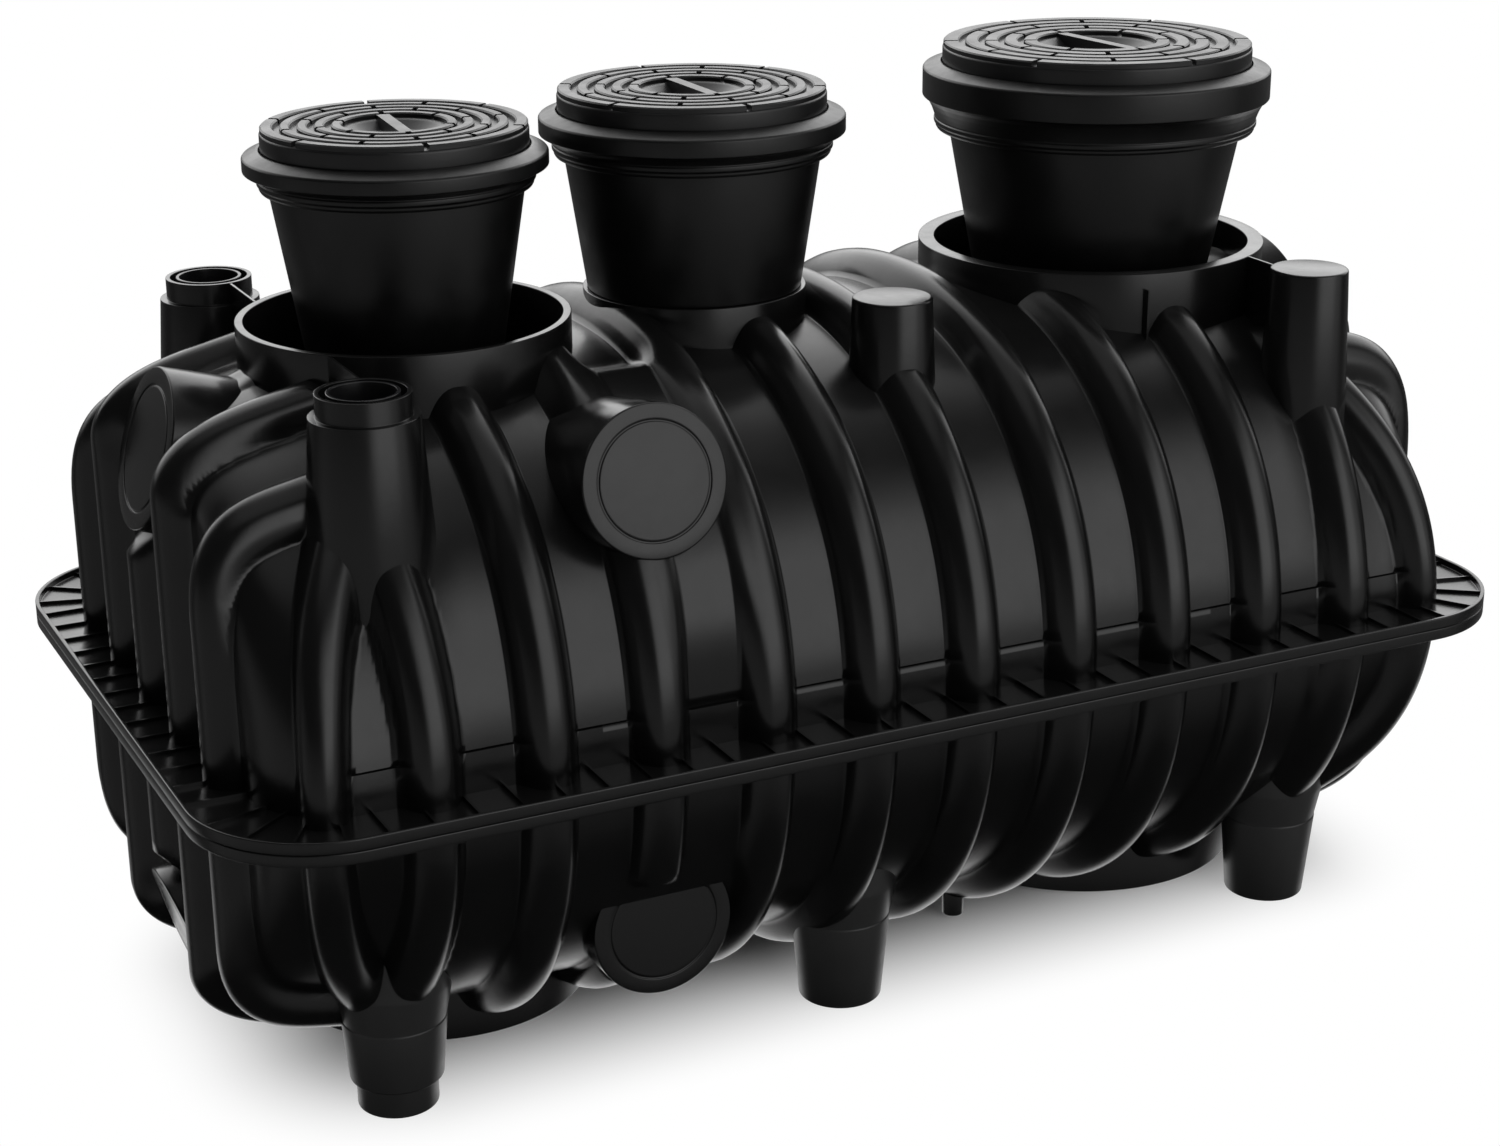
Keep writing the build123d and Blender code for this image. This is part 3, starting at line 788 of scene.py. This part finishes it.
def join_values(tree, operation, first, second):
    """Result of a Math node on two sockets."""
    return add_node(tree, "ShaderNodeMath", links={0: first, 1: second}, operation=operation).outputs[0]


floor_paint = bpy.data.materials.new("matt_white_paper")
floor_paint.use_nodes = True
tree = floor_paint.node_tree
tree.nodes.clear()
rays = add_node(tree, "ShaderNodeLightPath")
spot = add_node(tree, "ShaderNodeTexCoord").outputs["Object"]
paper = add_node(tree, "ShaderNodeBsdfDiffuse", {"Color": (PAPER, PAPER, PAPER, 1)})
white = add_node(tree, "ShaderNodeEmission", {"Color": (1, 1, 1, 1), "Strength": 1.0})
offset = add_node(tree, "ShaderNodeVectorMath", {1: FOOTPRINT_MIDDLE}, {0: spot}, operation="SUBTRACT")
size = add_node(tree, "ShaderNodeVectorMath", links={0: offset.outputs["Vector"]}, operation="ABSOLUTE")
beyond = add_node(tree, "ShaderNodeVectorMath", {1: FOOTPRINT}, {0: size.outputs["Vector"]},
                  operation="SUBTRACT")
outside = add_node(tree, "ShaderNodeVectorMath", {1: (0, 0, 0)}, {0: beyond.outputs["Vector"]},
                   operation="MAXIMUM")
distance = add_node(tree, "ShaderNodeVectorMath", links={0: outside.outputs["Vector"]}, operation="LENGTH")
far = smooth_range(tree, distance.outputs["Value"], 0.0, FADE, 0.0, 1.0)
mask = join_values(tree, "MULTIPLY", far, rays.outputs["Is Camera Ray"])
mixed = add_node(tree, "ShaderNodeMixShader", links={0: mask, 1: paper.outputs[0], 2: white.outputs[0]})
clear = add_node(tree, "ShaderNodeBsdfTransparent")
unmirrored = add_node(tree, "ShaderNodeMixShader",
                      links={0: rays.outputs["Is Glossy Ray"], 1: mixed.outputs[0], 2: clear.outputs[0]})
add_node(tree, "ShaderNodeOutputMaterial", links={"Surface": unmirrored.outputs[0]})
floor_mesh = bpy.data.meshes.new("studio_floor")
floor_mesh.from_pydata([(-FLOOR, -FLOOR, 0), (FLOOR, -FLOOR, 0), (FLOOR, FLOOR, 0), (-FLOOR, FLOOR, 0)], [],
                       [(0, 1, 2, 3)])
floor_mesh.materials.append(floor_paint)
studio_floor = bpy.data.objects.new("studio_floor", floor_mesh)
bpy.context.scene.collection.objects.link(studio_floor)

# %% [markdown]
# ## Light
# Black plastic shows little of its own colour: what one sees is the room mirrored in it. The room
# is therefore painted round the tank like a studio: black on the left, a wide bright panel in front
# on the right, which lights the flat panels, and a glow behind, which gives the flat tops their sheen.
# Lamps could do it, but each would leave a hot spot, while smooth steps of the direction fade
# softly into each other. One large lamp overhead only makes the shadow on the paper.

# %% World and lamps
YAW, TILT, ROLL = 0.457, 0.345, -0.007
ROOM_BLACK, ROOM_LOW, ROOM_PANEL, ROOM_GLOW, ROOM_TOP = 0.01, 0.24, 1.40, 2.3, 0.30
ROOM_UNDER, ROOM_SIDE = 0.9, 0.35
world = bpy.data.worlds.new("studio")
bpy.context.scene.world = world
world.use_nodes = True
tree = world.node_tree
tree.nodes.clear()
rays = add_node(tree, "ShaderNodeLightPath")
direction = add_node(tree, "ShaderNodeTexCoord").outputs["Generated"]
part = add_node(tree, "ShaderNodeSeparateXYZ", links={"Vector": direction})
height = part.outputs["Z"]
behind = add_node(tree, "ShaderNodeVectorMath", {1: (np.sin(YAW), np.cos(YAW), 0)}, {0: direction},
                  operation="DOT_PRODUCT").outputs["Value"]
# A faint glow low in front, for the feet and the lower panels.
low = join_values(tree, "MULTIPLY", smooth_range(tree, height, -0.72, -0.42, 0.01, ROOM_LOW),
                  smooth_range(tree, height, -0.20, 0.20, 1.0, 0.1))
low = join_values(tree, "MULTIPLY", low, smooth_range(tree, behind, -0.2, 0.3, 1.0, 0.2))
# The panel in front, dark on the left and dimmer on the far right.
panel = join_values(tree, "MULTIPLY", smooth_range(tree, height, -0.22, 0.02, 0.0, ROOM_PANEL),
                    smooth_range(tree, height, 0.50, 0.85, 1.0, 0.0))
for fade in (smooth_range(tree, part.outputs["X"], -0.30, 0.12, 0.0, 1.0),
             smooth_range(tree, part.outputs["X"], 0.55, 0.80, 1.0, ROOM_SIDE),
             smooth_range(tree, behind, -0.1, 0.2, 1.0, 0.0)):
    panel = join_values(tree, "MULTIPLY", panel, fade)
# The glow behind, and a lighter patch low behind that the undersides mirror.
glow = join_values(tree, "MULTIPLY", smooth_range(tree, behind, 0.1, 0.85, 0.0, ROOM_GLOW),
                   smooth_range(tree, height, 0.00, 0.24, 0.02, 1.0))
under = join_values(tree, "MULTIPLY", smooth_range(tree, behind, 0.3, 0.7, 0.0, ROOM_UNDER),
                    smooth_range(tree, height, -0.52, -0.38, 1.0, 0.0))
top = smooth_range(tree, height, 0.80, 0.97, ROOM_BLACK, ROOM_TOP)
strength = low
for light in (panel, glow, under, top):
    strength = join_values(tree, "ADD", strength, light)
sky = add_node(tree, "ShaderNodeBackground", {"Color": (1, 1, 1, 1)}, {"Strength": strength})
white = add_node(tree, "ShaderNodeBackground", {"Color": (1, 1, 1, 1), "Strength": 1.0})
both = add_node(tree, "ShaderNodeMixShader",
                links={0: rays.outputs["Is Camera Ray"], 1: sky.outputs[0], 2: white.outputs[0]})
add_node(tree, "ShaderNodeOutputWorld", links={"Surface": both.outputs[0]})


def soft_lamp(name, place, target, size, power):
    """Square area lamp at a place, aimed at a target."""
    lamp = bpy.data.lights.new(name, "AREA")
    lamp.shape = "SQUARE"
    lamp.size = size
    lamp.energy = power
    holder = bpy.data.objects.new(name, lamp)
    bpy.context.scene.collection.objects.link(holder)
    back = np.array(place, float) - np.array(target, float)
    back /= np.linalg.norm(back)
    side = np.cross((0, 0, 1) if abs(back[2]) < 0.99 else (0, 1, 0), back)
    side /= np.linalg.norm(side)
    turn = np.stack([side, np.cross(back, side), back], axis=1)
    holder.matrix_world = Matrix.Translation(place) @ Matrix(turn.tolist()).to_4x4()
    return holder


overhead = soft_lamp("overhead", (0.3, 0.2, 6.0), (0, 0, 0.8), 6.0, 520)
overhead.visible_glossy = False
print("lamp", overhead.name, overhead.data.energy, "W")

# %% [markdown]
# ## Camera
# The camera stands where the photograph was taken from. Its place and turn were fitted to the
# picture, and the lens follows from the focal length in pixels of the 1500 pixel wide frame. The
# picture's middle isn't quite on the lens's axis, which the two shifts put right.

# %% Camera
FOCAL_PX, CENTRE_X_PX, CENTRE_Y_PX = 2738.3, 745.5, 576.1
WIDTH_PX, HEIGHT_PX = 1500, 1146
SENSOR = 36.0
CAMERA_IN_PITCHES = (-11.038, -22.139, 9.090)
place = np.array(CAMERA_IN_PITCHES) * PITCH + (0, 0, SEAM)
forward = np.array([np.sin(YAW) * np.cos(TILT), np.cos(YAW) * np.cos(TILT), -np.sin(TILT)])
level = np.array([np.cos(YAW), -np.sin(YAW), 0])
above = np.cross(level, forward)
right = np.cos(ROLL) * level + np.sin(ROLL) * above
upward = -np.sin(ROLL) * level + np.cos(ROLL) * above
camera_data = bpy.data.cameras.new("studio_camera")
camera_data.sensor_width = SENSOR
camera_data.sensor_fit = "HORIZONTAL"
camera_data.lens = FOCAL_PX / WIDTH_PX * SENSOR
camera_data.shift_x = (WIDTH_PX / 2 - CENTRE_X_PX) / WIDTH_PX
camera_data.shift_y = (CENTRE_Y_PX - HEIGHT_PX / 2) / WIDTH_PX
camera = bpy.data.objects.new("studio_camera", camera_data)
bpy.context.scene.collection.objects.link(camera)
turn = Matrix(np.stack([right, upward, -forward], axis=1).tolist()).to_4x4()
camera.matrix_world = Matrix.Translation(place) @ turn
bpy.context.scene.camera = camera
bpy.context.scene.view_settings.view_transform = "Standard"
print("lens", round(camera_data.lens, 2), "mm, camera at", place.round(3))
